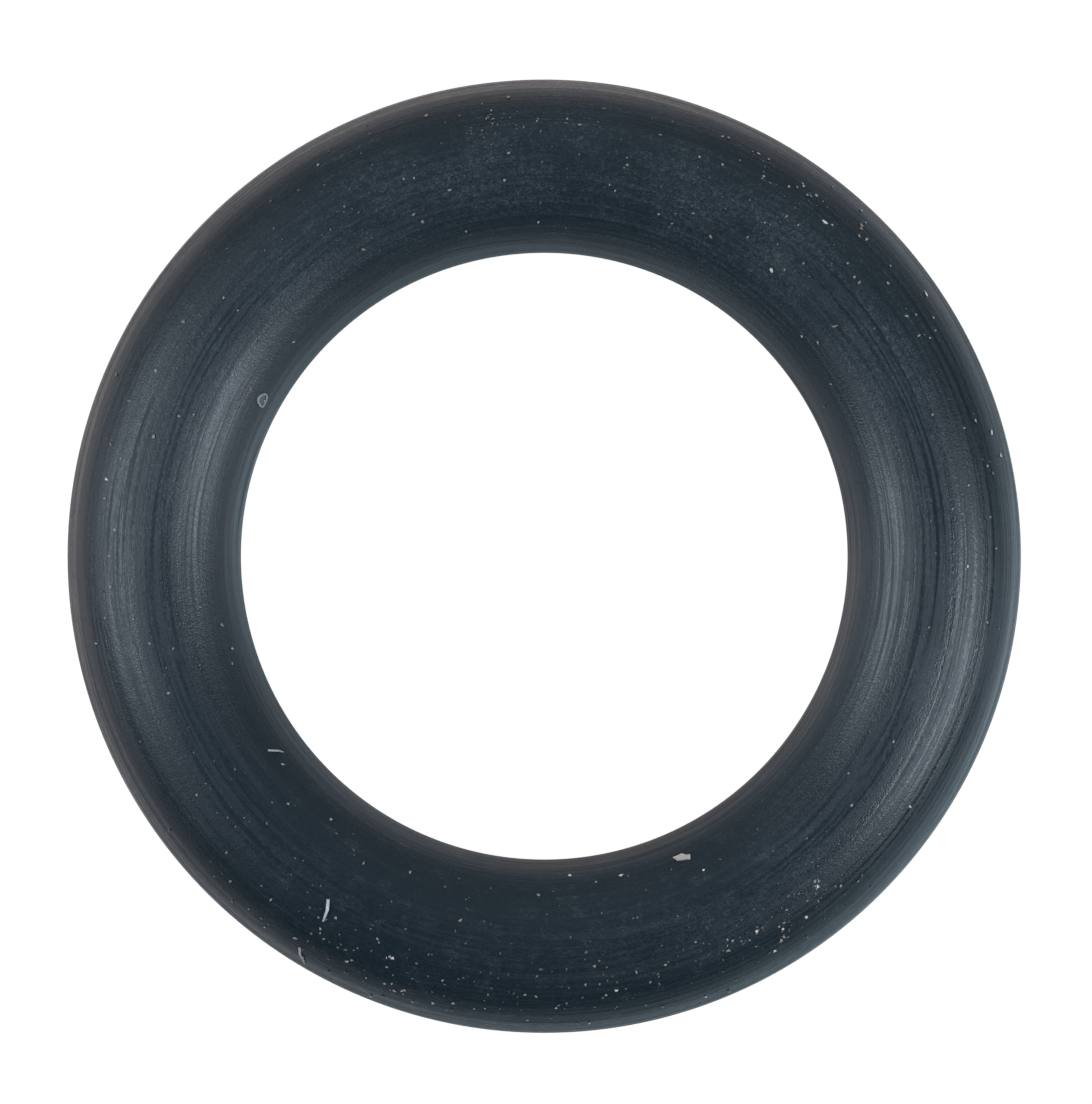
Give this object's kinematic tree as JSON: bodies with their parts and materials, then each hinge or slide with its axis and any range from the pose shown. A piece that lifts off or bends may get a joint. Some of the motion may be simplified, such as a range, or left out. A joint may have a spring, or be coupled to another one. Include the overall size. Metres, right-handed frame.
{
  "type": "o-ring",
  "caption": "Solid rubber o-ring of round section for sealing a shaft or a bore, with trimmed parting-line bands.",
  "frame": {"origin": "centre of the ring, on its axis and half way up its thickness", "axes": "+Z along the axis of the ring, X and Y in the plane where the two halves of the mould met"},
  "size_m": [0.011, 0.011, 0.002],
  "materials": {
    "rubber": "semi-matte moulded black rubber with fine concentric tool marks, lightly dusty"
  },
  "bodies": {
    "root": {"o_ring": "rubber"}
  },
  "joints": []
}
